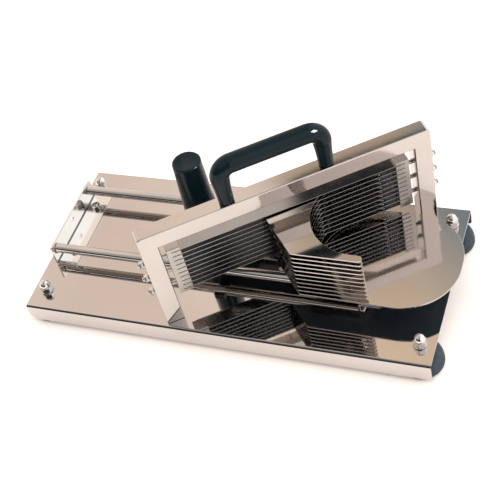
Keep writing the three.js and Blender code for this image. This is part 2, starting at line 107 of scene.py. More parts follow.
def tidy(bm):
    bmesh.ops.remove_doubles(bm, verts=bm.verts, dist=weld)
    bmesh.ops.dissolve_degenerate(bm, edges=bm.edges, dist=weld)
    bmesh.ops.recalc_face_normals(bm, faces=bm.faces)


def vertsOf(parts):
    return [part for part in parts if isinstance(part, bmesh.types.BMVert)]


def edgesOf(parts):
    return [part for part in parts if isinstance(part, bmesh.types.BMEdge)]


def sharpEdges(bm, least=plainEdge):
    return [edge for edge in bm.edges if edge.is_manifold and edge.calc_face_angle(0) > radians(least)]


def roundEdges(bm, edges, width, segments=2):
    bmesh.ops.bevel(bm, geom=edges, offset=width, offset_type="OFFSET", affect="EDGES", segments=segments,
                    profile=0.5, material=-1, clamp_overlap=True)


def roundCorner(bm, corner, radius, segments):
    arms = [edge.other_vert(corner).co - corner.co for edge in corner.link_edges]
    setback = radius / tan(arms[0].angle(arms[1]) / 2)
    bmesh.ops.bevel(bm, geom=[corner], offset=setback, offset_type="OFFSET", affect="VERTICES",
                    segments=segments, profile=0.5, material=-1, clamp_overlap=False)


def cutOutline(corners):
    bm = bmesh.new()
    points = [bm.verts.new((x, y, 0)) for x, y, radius in corners]
    bm.faces.new(points)
    for point, (x, y, radius) in zip(points, corners):
        if radius:
            roundCorner(bm, point, radius, max(outlineArc["least"], int(radius * outlineArc["perMm"])))
    bmesh.ops.remove_doubles(bm, verts=bm.verts, dist=weld)
    return bm


def pull(bm, x, y, z):
    made = bmesh.ops.extrude_face_region(bm, geom=bm.faces[:])["geom"]
    bmesh.ops.translate(bm, verts=vertsOf(made), vec=(x, y, z))
    bmesh.ops.recalc_face_normals(bm, faces=bm.faces)


def pullRing(bm, ring, x, y, z):
    made = bmesh.ops.extrude_edge_only(bm, edges=ring)["geom"]
    points = vertsOf(made)
    bmesh.ops.translate(bm, verts=points, vec=(x, y, z))
    return points, [edge for edge in edgesOf(made) if all(vert in points for vert in edge.verts)]


def chain(bm, corners):
    points = [bm.verts.new(corner) for corner in corners]
    return points, [bm.edges.new(pair) for pair in zip(points, points[1:])]


# Pulls a line of corners along into a bent sheet, with its outer side up (facing 1) or down (facing -1)
def foldSheet(corners, along, facing, sheet):
    bm = bmesh.new()
    points, edges = chain(bm, corners)
    pullRing(bm, edges, *along)
    bmesh.ops.recalc_face_normals(bm, faces=bm.faces)
    outer = max(bm.faces, key=lambda face: face.calc_center_median().z * facing)
    if outer.normal.z * facing < 0:
        bmesh.ops.reverse_faces(bm, faces=bm.faces)
    bends = [edge for edge in bm.edges if len(edge.link_faces) == 2]
    roundEdges(bm, bends, sheet["bend"], sheet["bendSteps"])
    return bm


def swings(steps, most=pi / 2):
    return [step / steps * most for step in range(steps + 1)]


def lathe(profile, steps=48):
    bm = bmesh.new()
    points, edges = chain(bm, [(radius, 0, z) for radius, z in profile])
    bmesh.ops.spin(bm, geom=points + edges, cent=(0, 0, 0), axis=(0, 0, 1), angle=2 * pi, steps=steps,
                   use_merge=True)
    tidy(bm)
    return bm


def drill(radius, reach=5, steps=32):
    return lathe([(0, -reach), (radius, -reach), (radius, reach), (0, reach)], steps)


def drillsAt(spots, radius, level):
    tools = []
    for spot in spots:
        tool = drill(radius)
        moveBy(tool, spot.x, spot.y, level)
        tools.append(tool)
    return tools


def hexBar(flats, bottom, top, edge):
    bm = bmesh.new()
    bmesh.ops.create_circle(bm, cap_ends=True, segments=6, radius=flats / sqrt(3))
    pull(bm, 0, 0, top - bottom)
    moveBy(bm, 0, 0, bottom)
    roundEdges(bm, sharpEdges(bm), edge)
    return bm


def blockOf(low, high):
    bm = bmesh.new()
    bmesh.ops.create_cube(bm, size=1)
    bmesh.ops.scale(bm, verts=bm.verts, vec=Vector(high) - Vector(low))
    moveBy(bm, *((Vector(low) + Vector(high)) / 2))
    return bm


def meshOf(bm, name):
    mesh = bpy.data.meshes.new(name)
    bm.to_mesh(mesh)
    bm.free()
    return mesh


def gather(*shells):
    whole = bmesh.new()
    for shell in shells:
        mesh = meshOf(shell, "shell")
        whole.from_mesh(mesh)
        bpy.data.meshes.remove(mesh)
    return whole


def cutAway(body, *tools):
    blank = bpy.data.objects.new("blank", meshOf(body, "blank"))
    cutter = bpy.data.objects.new("cutter", meshOf(gather(*tools), "cutter"))
    for solid in (blank, cutter):
        scene.collection.objects.link(solid)
    cutting = blank.modifiers.new("cutting", "BOOLEAN")
    cutting.operation = "DIFFERENCE"
    cutting.solver = "EXACT"
    cutting.object = cutter
    done = bpy.data.meshes.new_from_object(blank.evaluated_get(bpy.context.evaluated_depsgraph_get()))
    bm = bmesh.new()
    bm.from_mesh(done)
    bpy.data.meshes.remove(done)
    for solid in (blank, cutter):
        mesh = solid.data
        bpy.data.objects.remove(solid)
        bpy.data.meshes.remove(mesh)
    tidy(bm)
    return bm


def settle(bm, name, node, body, finish, crease=38):
    bmesh.ops.scale(bm, verts=bm.verts, vec=(metre, metre, metre))
    mesh = meshOf(bm, name)
    mesh.shade_smooth()
    mesh.set_sharp_from_angle(angle=radians(crease))
    mesh.materials.append(finish)
    piece = bpy.data.objects.new(name, mesh)
    scene.collection.objects.link(piece)
    evenShade = piece.modifiers.new("even shade", "WEIGHTED_NORMAL")
    evenShade.keep_sharp = True
    evenShade.weight = 80
    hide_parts(node)
    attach(piece, body)
    return piece


# Finishes

noiseSpan = (0.3, 0.7)  # most of a noise's values lie between these


def newFinish(name):
    finish = bpy.data.materials.new(name)
    finish.use_nodes = True
    tree = finish.node_tree
    shader = tree.nodes["Principled BSDF"]
    return finish, tree, shader


def addNode(tree, kind, links=(), **settings):
    node = tree.nodes.new(kind)
    for key, value in settings.items():
        setattr(node, key, value)
    for socket, source in links:
        if hasattr(source, "is_output"):
            tree.links.new(source, node.inputs[socket])
        else:
            node.inputs[socket].default_value = source
    return node


def placeOn(tree, turn=0, stretch=(1, 1, 1)):
    coords = addNode(tree, "ShaderNodeTexCoord")
    return addNode(tree, "ShaderNodeMapping", [
        ("Vector", coords.outputs["Object"]), ("Rotation", (0, 0, turn)), ("Scale", stretch),
    ]).outputs["Vector"]


def addNoise(tree, vector, scale, detail=3, roughness=0.5):
    return addNode(tree, "ShaderNodeTexNoise", [
        ("Vector", vector), ("Scale", scale), ("Detail", detail), ("Roughness", roughness),
    ]).outputs["Fac"]


def addRange(tree, value, low, high, span=noiseSpan):
    return addNode(tree, "ShaderNodeMapRange", [
        ("Value", value), ("From Min", span[0]), ("From Max", span[1]), ("To Min", low), ("To Max", high),
    ]).outputs["Result"]


# A colour ramp whose stops are pairs of a place from 0 to 1 and a tone
def addRamp(tree, value, stops):
    ramp = addNode(tree, "ShaderNodeValToRGB", [("Fac", value)])
    elements = ramp.color_ramp.elements
    while len(elements) < len(stops):
        elements.new(0.5)
    for element, (place, tone) in zip(elements, stops):
        element.position = place
        element.color = (*tone, 1)
    return ramp.outputs["Color"]


def addTones(tree, value, dark, light):
    return addRamp(tree, value, list(zip(noiseSpan, (dark, light))))


def addMix(tree, share, first, second):
    mix = addNode(tree, "ShaderNodeMix", data_type="RGBA")
    tree.links.new(share, mix.inputs["Factor"])
    for socket, tone in ((6, first), (7, second)):  # the two colour sockets
        if hasattr(tone, "is_output"):
            tree.links.new(tone, mix.inputs[socket])
        else:
            mix.inputs[socket].default_value = (*tone, 1)
    return mix.outputs[2]


def addMath(tree, operation, *values):
    return addNode(tree, "ShaderNodeMath", enumerate(values), operation=operation).outputs["Value"]


def addVectorMath(tree, operation, *values):
    return addNode(tree, "ShaderNodeVectorMath", enumerate(values), operation=operation).outputs


def addBump(tree, height, depth, strength, under=None):
    links = [("Height", height), ("Distance", depth), ("Strength", strength)]
    if under is not None:
        links.append(("Normal", under))
    return addNode(tree, "ShaderNodeBump", links).outputs["Normal"]


# Mask for painted dark lines and painted shade: 1 round the spot and 0 past its reach, with a soft end
def addPaintedDark(tree, place, spot, reach):
    away = addVectorMath(tree, "SUBTRACT", place, spot)["Vector"]
    away = addVectorMath(tree, "MULTIPLY", away, reach)["Vector"]
    length = addVectorMath(tree, "LENGTH", away)["Value"]
    return addRange(tree, length, 1, 0, span=(0.7, 1))


# In a look, gloss is a span of roughness, lines the grain's fineness along each axis, and the reach of a
# painted dark stretch (painted shade or a painted dark reflection) one over the metres that it reaches along
# each axis
def metalFinish(name, look):
    finish, tree, shader = newFinish(name)
    plain = placeOn(tree)
    lines = placeOn(tree, -look["turn"], look["lines"])
    smudge = addNoise(tree, plain, look["smudge"], detail=4, roughness=0.6)
    grain = addNoise(tree, lines, scale=1, detail=5, roughness=0.65)
    wave = addNoise(tree, plain, look["waveScale"], detail=1)
    shader.inputs["Metallic"].default_value = 1
    tone = addTones(tree, smudge, look["dark"], look["light"])
    # A painted dark stretch (painted shade or a painted dark reflection) is mixed into the tone, with its own
    # metallic value
    if "paintedDark" in look:
        paintedDark = addPaintedDark(tree, plain, look["paintedDark"], look["paintedDarkReach"])
        tone = addMix(tree, paintedDark, tone, look["paintedDarkTone"])
        metallic = addRange(tree, paintedDark, 1, look["paintedDarkMetal"], span=(0, 1))
        tree.links.new(metallic, shader.inputs["Metallic"])
    tree.links.new(tone, shader.inputs["Base Color"])
    gloss = addRange(tree, smudge, *look["gloss"])
    streak = addRange(tree, grain, 0, look["streak"])
    tree.links.new(addMath(tree, "ADD", gloss, streak), shader.inputs["Roughness"])
    soft = addBump(tree, wave, look["waveDepth"], strength=0.2)
    fine = addBump(tree, grain, look["grainDepth"], strength=0.1, under=soft)
    tree.links.new(fine, shader.inputs["Normal"])
    return finish


baseInset = 0.9  # from the base's outer sides to the outside of its bend
# A painted dark reflection runs along the base's front fold: a thin dark line painted into the mirror sheet's
# colour
frontFold = (boxOf("base_plate")[0] * Vector((1, 1, 0)) + Vector((0, baseInset, baseTop - baseInset))) * metre
mirrorSheet = metalFinish("mirror sheet", {
    "dark": (0.565, 0.535, 0.515), "light": (0.605, 0.575, 0.555), "gloss": (0.02, 0.05), "streak": 0.02,
    "smudge": 9, "turn": 0, "lines": (6, 900, 900), "waveScale": 7, "waveDepth": 0.0004,
    "grainDepth": 0.00002, "paintedDark": frontFold, "paintedDarkReach": (0, 750, 750), "paintedDarkTone": (0.13, 0.12, 0.115),
    "paintedDarkMetal": 1,
})
frameTube = metalFinish("polished tube", {
    "dark": (0.555, 0.52, 0.495), "light": (0.595, 0.56, 0.535), "gloss": (0.05, 0.09), "streak": 0.04,
    "smudge": 14, "turn": slant["angle"], "lines": (8, 1100, 1100), "waveScale": 12, "waveDepth": 0.0002,
    "grainDepth": 0.00001,
})
# A painted dark reflection runs along the bracket's bend: a thin dark line painted into the bracket sheet's
# colour
bracketInset = 2.3  # from the bracket's outer sides to the inside of its bend
bracketFold = (boxOf("rod_bracket_left")[0] + Vector((bracketInset, 0, bracketInset))) * metre
bracketSheet = metalFinish("bracket sheet", {
    "dark": (0.77, 0.75, 0.73), "light": (0.82, 0.80, 0.78), "gloss": (0.06, 0.12), "streak": 0.05,
    "smudge": 20, "turn": 0, "lines": (900, 8, 900), "waveScale": 20, "waveDepth": 0.0001,
    "grainDepth": 0.00003, "paintedDark": bracketFold, "paintedDarkReach": (820, 0, 820), "paintedDarkTone": (0.16, 0.17, 0.18),
    "paintedDarkMetal": 1,
})
holderBlock = metalFinish("satin holder block", {
    "dark": (0.42, 0.40, 0.385), "light": (0.50, 0.48, 0.465), "gloss": (0.2, 0.28), "streak": 0.08,
    "smudge": 30, "turn": slant["angle"], "lines": (900, 900, 20), "waveScale": 30, "waveDepth": 0.0001,
    "grainDepth": 0.00004,
})
groundRod = metalFinish("ground rod", {
    "dark": (0.56, 0.53, 0.51), "light": (0.62, 0.59, 0.57), "gloss": (0.05, 0.1), "streak": 0.05,
    "smudge": 18, "turn": 0, "lines": (1400, 30, 30), "waveScale": 20, "waveDepth": 0.00005,
    "grainDepth": 0.00002,
})
bladeLook = {
    "dark": (0.315, 0.32, 0.325), "light": (0.355, 0.36, 0.365), "gloss": (0.03, 0.06), "streak": 0.02,
    "smudge": 24, "turn": slant["angle"], "lines": (10, 1600, 1600), "waveScale": 20, "waveDepth": 0.00005,
    "grainDepth": 0.000004,
}
topBladeSteel = metalFinish("polished blade", bladeLook)
bladeSteel = metalFinish("ground blade", {
    **bladeLook, "dark": (0.335, 0.35, 0.36), "light": (0.375, 0.39, 0.40), "gloss": (0.19, 0.23),
})
plateLook = {
    "dark": (0.54, 0.51, 0.49), "light": (0.60, 0.57, 0.55), "gloss": (0.03, 0.07), "streak": 0.03,
    "smudge": 16, "turn": 0, "lines": (8, 900, 900), "waveScale": 10, "waveDepth": 0.0002,
    "grainDepth": 0.00002,
}
plateSteel = metalFinish("polished plate", plateLook)
# The carriage's underside gets a matte, dark bluish tone: painted shade under the carriage
carriageUnder = Vector((0, 0, boxOf("carriage_plate")[0].z)) * metre
carriageSteel = metalFinish("carriage sheet", {
    **plateLook, "paintedDark": carriageUnder, "paintedDarkReach": (0, 0, 2000), "paintedDarkTone": (0.06, 0.08, 0.105),
    "paintedDarkMetal": 0,
})
brightScrew = metalFinish("bright screw", {
    "dark": (0.62, 0.60, 0.58), "light": (0.74, 0.72, 0.70), "gloss": (0.08, 0.14), "streak": 0.05,
    "smudge": 120, "turn": 0, "lines": (700, 700, 90), "waveScale": 90, "waveDepth": 0.00002,
    "grainDepth": 0.00002,
})

mottle = {"cloud": 0.7, "pores": 0.3}  # shares of the two noises in a moulded piece's colour


def mouldedFinish(name, look):
    finish, tree, shader = newFinish(name)
    plain = placeOn(tree)
    cloud = addNoise(tree, plain, look["cloud"], detail=4, roughness=0.6)
    pores = addNoise(tree, plain, look["pores"], detail=3, roughness=0.6)
    clouded = addMath(tree, "MULTIPLY", cloud, mottle["cloud"])
    pored = addMath(tree, "MULTIPLY", pores, mottle["pores"])
    tone = addTones(tree, addMath(tree, "ADD", clouded, pored), look["dark"], look["light"])
    tree.links.new(tone, shader.inputs["Base Color"])
    tree.links.new(addRange(tree, cloud, *look["gloss"]), shader.inputs["Roughness"])
    tree.links.new(addBump(tree, pores, look["poreDepth"], look["poreStrength"]), shader.inputs["Normal"])
    shader.inputs["Specular IOR Level"].default_value = look["shine"]
    return finish


blackGloss = mouldedFinish("black gloss", {
    "dark": (0.003, 0.010, 0.014), "light": (0.006, 0.016, 0.022), "gloss": (0.05, 0.09), "cloud": 30,
    "pores": 900, "poreDepth": 0.00003, "poreStrength": 0.06, "shine": 0.16,
})
slidePlastic = mouldedFinish("black slide plastic", {
    "dark": (0.006, 0.006, 0.007), "light": (0.014, 0.014, 0.016), "gloss": (0.4, 0.55), "cloud": 40,
    "pores": 1500, "poreDepth": 0.00006, "poreStrength": 0.3, "shine": 0.4,
})
footRubber = mouldedFinish("grey rubber", {
    "dark": (0.030, 0.042, 0.056), "light": (0.070, 0.092, 0.115), "gloss": (0.55, 0.75), "cloud": 160,
    "pores": 1200, "poreDepth": 0.0002, "poreStrength": 0.5, "shine": 0.1,
})
print("finishes:", len([finish for finish in bpy.data.materials if finish.users == 0]), "ready")


# Base: one sheet folded down at the front and rear

basePlate = {"sheet": 1.5, "bend": 3, "bendSteps": 8, "leftCorner": 10, "rightCorner": 3, "cornerSteps": 8,
             "edge": 0.3}


def makeBase():
    low, high = boxOf("base_plate")
    bm = foldSheet([(low.x, low.y, low.z), (low.x, low.y, high.z), (low.x, high.y, high.z),
                    (low.x, high.y, low.z)], (high.x - low.x, 0, 0), 1, basePlate)
    for end, radius in ((low.x, basePlate["leftCorner"]), (high.x, basePlate["rightCorner"])):
        lower = [vert for vert in bm.verts if abs(vert.co.x - end) < near and abs(vert.co.z - low.z) < near]
        for corner in lower:
            roundCorner(bm, corner, radius, basePlate["cornerSteps"])
    bmesh.ops.solidify(bm, geom=bm.faces[:], thickness=basePlate["sheet"])
    tidy(bm)
    roundEdges(bm, sharpEdges(bm, sheetEdge), basePlate["edge"])
    settle(bm, "folded_base", "base_plate", "base", mirrorSheet)


makeBase()


# Feet: rubber cups under the corners, a domed nut on each stud

footCup = {"rimFlat": 5, "rimRound": 3, "rimSteps": 6, "lip": 4, "hollow": 3, "neck": 11.5, "neckHeight": 5,
           "stud": 4, "rings": 14, "steps": 64, "edge": 0.5}
domedNut = {"flats": 12, "collar": 6.8, "collarHeight": 1.2, "collarEdge": 0.4, "hexHeight": 6.5,
            "hexEdge": 0.6, "hexSink": 0.2, "domeInset": 0.3, "domeSink": 1.5, "rings": 8}


def makeFoot(corner):
    low, high = boxOf("foot_" + corner)
    middle = (low + high) / 2
    rim = (high.x - low.x) / 2
    inner = rim - footCup["rimFlat"]
    hollow = footCup["hollow"]
    rimRound = footCup["rimRound"]
    lip = footCup["lip"]
    neck = footCup["neck"]
    neckTop = baseTop - basePlate["sheet"] - seatGap
    neckFoot = neckTop - footCup["neckHeight"]
    profile = [(0, hollow), (inner - hollow, hollow), (inner, 0)]
    for swing in swings(footCup["rimSteps"]):
        profile.append((rim - rimRound * (1 - sin(swing)), rimRound * (1 - cos(swing))))
    profile.append((rim, lip))
    for swing in swings(footCup["rings"])[1:]:
        profile.append((rim - (rim - neck) * (1 - cos(swing)), lip + (neckFoot - lip) * sin(swing)))
    profile += [(neck, neckTop), (footCup["stud"], neckTop), (footCup["stud"], high.z), (0, high.z)]
    bm = lathe(profile, footCup["steps"])
    roundEdges(bm, sharpEdges(bm, turnedEdge), footCup["edge"])
    moveBy(bm, middle.x, middle.y, 0)
    settle(bm, "foot_cup_" + corner, "foot_" + corner, "base", footRubber)


def makeDomedNut(corner):
    low, high = boxOf("foot_nut_" + corner)
    middle = (low + high) / 2
    rim = domedNut["collar"]
    collarTop = domedNut["collarHeight"]
    shoulder = collarTop + domedNut["hexHeight"]
    height = high.z - low.z
    dome = domedNut["flats"] / 2 - domedNut["domeInset"]
    domeFoot = shoulder - domedNut["domeSink"]
    collar = lathe([(0, 0), (rim, 0), (rim, collarTop), (0, collarTop)])
    roundEdges(collar, sharpEdges(collar), domedNut["collarEdge"])
    body = hexBar(domedNut["flats"], collarTop - domedNut["hexSink"], shoulder, domedNut["hexEdge"])
    profile = [(0, domeFoot), (dome, domeFoot)]
    for swing in swings(domedNut["rings"]):
        profile.append((dome * cos(swing), shoulder + (height - shoulder) * sin(swing)))
    bm = gather(collar, body, lathe(profile))
    moveBy(bm, middle.x, middle.y, low.z)
    settle(bm, "domed_nut_" + corner, "foot_nut_" + corner, "base", brightScrew)


for corner in [row + "_" + end for row in rows for end in ends]:
    makeFoot(corner)
    makeDomedNut(corner)
print("base, feet and domed nuts made")


# Rod brackets: folded angles with an eyelet, held by two bolts each

rodBracket = {"sheet": 2, "bend": 3, "bendSteps": 6, "corner": 2, "cornerSteps": 5, "edge": 0.25,
              "eyelet": 2.5, "rodHole": 3.4, "boltHole": 2.9}
footBolt = {"radius": 2.5, "pitch": 0.8, "crown": [(0, 0.4), (2.2, 0), (3.6, 0.5)], "head": 4.6,
            "headHeight": 3, "brim": 0.65, "edge": 0.25, "sink": 0.5, "flats": 9, "nutHeight": 4,
            "hexEdge": 0.45}
# Round ridges in place of a helix; rootTo, crestFrom and crestTo are shares of the pitch
thread = {"depth": 0.35, "rootTo": 0.1, "crestFrom": 0.45, "crestTo": 0.65, "steps": 32}


def threaded(radius, bottom, top, pitch):
    root = radius - thread["depth"]
    turns = max(1, int((top - bottom) / pitch))
    step = (top - bottom) / turns
    profile = [(0, bottom), (root, bottom)]
    for turn in range(turns):
        start = bottom + turn * (top - bottom) / turns
        profile += [(root, start + step * thread["rootTo"]), (radius, start + step * thread["crestFrom"]),
                    (radius, start + step * thread["crestTo"])]
    profile += [(root, top), (0, top)]
    return lathe(profile, thread["steps"])


def makeBracket(end):
    node = "rod_bracket_" + end
    low, high = boxOf(node)
    bm = foldSheet([(low.x, low.y, high.z), (low.x, low.y, low.z), (high.x, low.y, low.z)],
                   (0, high.y - low.y, 0), -1, rodBracket)
    for corner in [vert for vert in bm.verts
                   if abs(vert.co.z - high.z) < near or abs(vert.co.x - high.x) < near]:
        roundCorner(bm, corner, rodBracket["corner"], rodBracket["cornerSteps"])
    bmesh.ops.solidify(bm, geom=bm.faces[:], thickness=rodBracket["sheet"])
    tidy(bm)
    holes = [(rod.y, rodBracket["rodHole"]) for rod in rods]
    holes.append(((rods[0].y + rods[1].y) / 2, rodBracket["eyelet"]))
    tools = []
    for y, radius in holes:
        tool = drill(radius)
        layAlongX(tool)
        moveBy(tool, low.x, y, rods[0].z)
        tools.append(tool)
    bolts = [middleOf("bracket_bolt_" + end + "_" + row) for row in rows]
    bm = cutAway(bm, *tools, *drillsAt(bolts, rodBracket["boltHole"], low.z))
    roundEdges(bm, sharpEdges(bm, sheetEdge), rodBracket["edge"])
    settle(bm, "folded_bracket_" + end, node, "base", bracketSheet)


def makeFootBolt(end, row):
    node = "bracket_bolt_" + end + "_" + row
    low, high = boxOf(node)
    middle = (low + high) / 2
    rim = footBolt["head"]
    headTop = footBolt["headHeight"]
    nutFrom = boxOf("rod_bracket_" + end)[0].z + rodBracket["sheet"] + seatGap - low.z
    nutTo = nutFrom + footBolt["nutHeight"]
    head = lathe(footBolt["crown"] + [(rim, headTop * footBolt["brim"]), (rim, headTop), (0, headTop)])
    roundEdges(head, sharpEdges(head, turnedEdge), footBolt["edge"])
    shank = threaded(footBolt["radius"], headTop - footBolt["sink"], high.z - low.z, footBolt["pitch"])
    bm = gather(head, shank, hexBar(footBolt["flats"], nutFrom, nutTo, footBolt["hexEdge"]))
    moveBy(bm, middle.x, middle.y, low.z)
    settle(bm, "foot_bolt_" + end + "_" + row, node, "base", brightScrew)


# Guide rods with a button-head screw in each end

guideRod = {"chamfer": 0.8, "bore": 3.4, "boreDepth": 14, "steps": 64, "crease": 30}
buttonScrew = {"radius": 3, "pitch": 1, "sink": 0.3, "brim": 0.25, "crown": radians(72), "crownSteps": 8,
               "socket": 3.6, "socketDepth": 1.8, "socketEdge": 0.02}


def makeRod(row):
    node = "guide_rod_" + row
    low, high = boxOf(node)
    middle = (low + high) / 2
    radius = (high.z - low.z) / 2
    half = (high.x - low.x) / 2
    bore = guideRod["bore"]
    inner = half - guideRod["boreDepth"]
    face = radius - guideRod["chamfer"]
    end = half - guideRod["chamfer"]
    bm = lathe([(0, -inner), (bore, -inner), (bore, -half), (face, -half), (radius, -end), (radius, end),
                (face, half), (bore, half), (bore, inner), (0, inner)], guideRod["steps"])
    layAlongX(bm)
    moveBy(bm, *middle)
    settle(bm, "ground_rod_" + row, node, "base", groundRod, guideRod["crease"])


def buttonHead(radius, height):
    brim = buttonScrew["brim"]
    crown = buttonScrew["crown"]
    profile = [(0, 0), (radius, 0), (radius, height * brim)]
    for swing in swings(buttonScrew["crownSteps"], crown)[1:]:
        profile.append((radius * cos(swing), height * (brim + (1 - brim) * sin(swing) / sin(crown))))
    profile.append((0, height))
    socket = hexBar(buttonScrew["socket"], height - buttonScrew["socketDepth"], height + overcut,
                    buttonScrew["socketEdge"])
    return cutAway(lathe(profile), socket)


def makeRodScrew(row, end):
    node = "rod_screw_" + row + "_" + end
    low, high = boxOf(node)
    middle = (low + high) / 2
    bracketLow = boxOf("rod_bracket_" + end)[0].x
    face = bracketLow - seatGap if end == "left" else bracketLow + rodBracket["sheet"] + seatGap
    height = face - low.x if end == "left" else high.x - face
    length = high.x - low.x - height
    head = buttonHead((high.z - low.z) / 2, height)
    bm = gather(head, threaded(buttonScrew["radius"], -length, buttonScrew["sink"], buttonScrew["pitch"]))
    layToEnd(bm, end)
    moveBy(bm, face, middle.y, middle.z)
    settle(bm, "button_screw_" + row + "_" + end, node, "base", brightScrew)


for end in ends:
    makeBracket(end)
    for row in rows:
        makeFootBolt(end, row)
        makeRodScrew(row, end)
for row in rows:
    makeRod(row)
print("brackets, rods and their screws made")


# Blade frame: an arch of square tube on the slant

bladeArch = {"face": 18, "depth": 17, "corner": 4, "edge": 1.2, "edgeSteps": 3}
archScrew = {"radius": 3, "pitch": 1, "sink": 0.3, "headHeight": 3.2}


def archLength():
    low, high = boxOf("blade_frame")
    across = bladeArch["depth"] * cos(slant["angle"])
    return (high.y - low.y - across) / sin(slant["angle"])


def makeArch():
    low, high = boxOf("blade_frame")
    outer = archLength() / 2
    inner = outer - bladeArch["face"]
    under = high.z - bladeArch["face"]
    bm = cutOutline([(-outer, low.z, 0), (-inner, low.z, 0), (-inner, under, 0), (inner, under, 0),
                     (inner, low.z, 0), (outer, low.z, 0), (outer, high.z, bladeArch["corner"]),
                     (-outer, high.z, bladeArch["corner"])])
    turnBy(bm, pi / 2, "X")
    pull(bm, 0, bladeArch["depth"], 0)
    moveBy(bm, 0, -bladeArch["depth"] / 2, 0)
    roundEdges(bm, sharpEdges(bm, sheetEdge), bladeArch["edge"], bladeArch["edgeSteps"])
    slantInPlace(bm)
    settle(bm, "tube_arch", "blade_frame", "base", frameTube)


def makeArchScrew(end):
    node = "frame_screw_" + end
    low, high = boxOf(node)
    middle = (low + high) / 2
    head = buttonHead((high.x - low.x) / 2, archScrew["headHeight"])
    turnBy(head, pi, "X")
    top = high.z - low.z - archScrew["headHeight"]
    bm = gather(head, threaded(archScrew["radius"], -archScrew["sink"], top, archScrew["pitch"]))
    moveBy(bm, middle.x, middle.y, low.z + archScrew["headHeight"])
    settle(bm, "arch_screw_" + end, node, "base", brightScrew)


makeArch()
for end in ends:
    makeArchScrew(end)


# Blades in slotted holder blocks, stretched by screws through the posts

bladeBlock = {"width": 14, "depth": 13, "postGap": 5, "slotDepth": 9.5, "slotHeight": 1.2, "setback": 5,
              "edge": 0.5}
blade = {"count": 10, "width": 16, "thickness": 0.7, "bevel": 1.5, "tip": 0.08, "setback": 0.5, "crease": 8}
stretchScrew = {"count": 3, "radius": 2.5, "pitch": 0.8, "washer": 4.6, "washerHeight": 0.8, "edge": 0.2,
                "flats": 7.5, "hexHeight": 4, "hexEdge": 0.45, "tail": 2, "reach": 4}
blockOuter = archLength() / 2 - bladeArch["face"] - bladeBlock["postGap"]
blockInner = blockOuter - bladeBlock["width"]
blockMiddle = bladeBlock["setback"] + (bladeBlock["depth"] - bladeArch["depth"]) / 2
bladeMiddle = blockMiddle + blade["setback"] + (blade["width"] - bladeBlock["depth"]) / 2
bladeNodes = ["blade_%02d" % (number + 1) for number in range(blade["count"])]


def makeBladeBlock(end):
    node = "blade_holder_" + end
    low, high = boxOf(node)
    front = blockMiddle - bladeBlock["depth"] / 2
    rear = blockMiddle + bladeBlock["depth"] / 2
    body = blockOf((blockInner, front, low.z), (blockOuter, rear, high.z))
    roundEdges(body, sharpEdges(body), bladeBlock["edge"])
    slotFloor = blockInner + bladeBlock["slotDepth"]
    halfSlot = bladeBlock["slotHeight"] / 2
    slots = []
    for level in [middleOf(bladeNode).z for bladeNode in bladeNodes]:
        slots.append(blockOf((blockInner - 2 * overcut, front - overcut, level - halfSlot),
                             (slotFloor, rear + overcut, level + halfSlot)))
    bm = cutAway(body, *slots)
    if end == "left":
        turnBy(bm, pi, "Z")
        moveBy(bm, 0, 2 * blockMiddle, 0)
    slantInPlace(bm)
    settle(bm, "blade_block_" + end, node, "base", holderBlock)


def makeBlade(number, node):
    half = blockInner + bladeBlock["slotDepth"] - seatGap
    edge = blade["width"] / 2
    side = blade["thickness"] / 2
    tip = blade["tip"] / 2
    ground = edge - blade["bevel"]
    bm = cutOutline([(-edge, -side, 0), (ground, -side, 0), (edge, -tip, 0), (edge, tip, 0),
                     (ground, side, 0), (-edge, side, 0)])
    standAcross(bm)
    pull(bm, 2 * half, 0, 0)
    moveBy(bm, -half, bladeMiddle, middleOf(node).z)
    slantInPlace(bm)
    finish = topBladeSteel if number == blade["count"] else bladeSteel
    settle(bm, "slicing_blade_%02d" % number, node, "base", finish, blade["crease"])


def makeStretchScrew(end, number):
    node = "tension_screw_%s_%d" % (end, number)
    stem = stretchScrew["radius"]
    rim = stretchScrew["washer"]
    hexFrom = seatGap + stretchScrew["washerHeight"]
    hexTo = hexFrom + stretchScrew["hexHeight"]
    washer = lathe([(stem, seatGap), (rim, seatGap), (rim, hexFrom), (stem, hexFrom), (stem, seatGap)])
    roundEdges(washer, sharpEdges(washer), stretchScrew["edge"])
    reach = bladeArch["face"] + bladeBlock["postGap"] + stretchScrew["reach"]
    shank = threaded(stem, -reach, hexTo + stretchScrew["tail"], stretchScrew["pitch"])
    bm = gather(washer, hexBar(stretchScrew["flats"], hexFrom, hexTo, stretchScrew["hexEdge"]), shank)
    layToEnd(bm, end)
    half = archLength() / 2
    moveBy(bm, half if end == "right" else -half, blockMiddle, middleOf(node).z)
    slantInPlace(bm)
    settle(bm, "stretch_screw_%s_%d" % (end, number), node, "base", brightScrew)


for end in ends:
    makeBladeBlock(end)
    for number in range(1, stretchScrew["count"] + 1):
        makeStretchScrew(end, number)
for number, node in enumerate(bladeNodes, 1):
    makeBlade(number, node)
print("arch, blades and stretch screws made")


# Carrying handle: a bow with thinner legs on the arch's top rail

bow = {"span": 100.4, "offset": -5.2, "rise": 42.6, "barRadius": 9.4, "legRadius": 7.5, "steps": 48,
       "flare": (0.1, 0.3, 0.6, 1), "bend": 13, "bendSteps": 14, "foot": 0.8, "footSteps": 3, "stud": 3,
       "studLength": 9, "studSink": 1, "pitch": 1, "crease": 50}


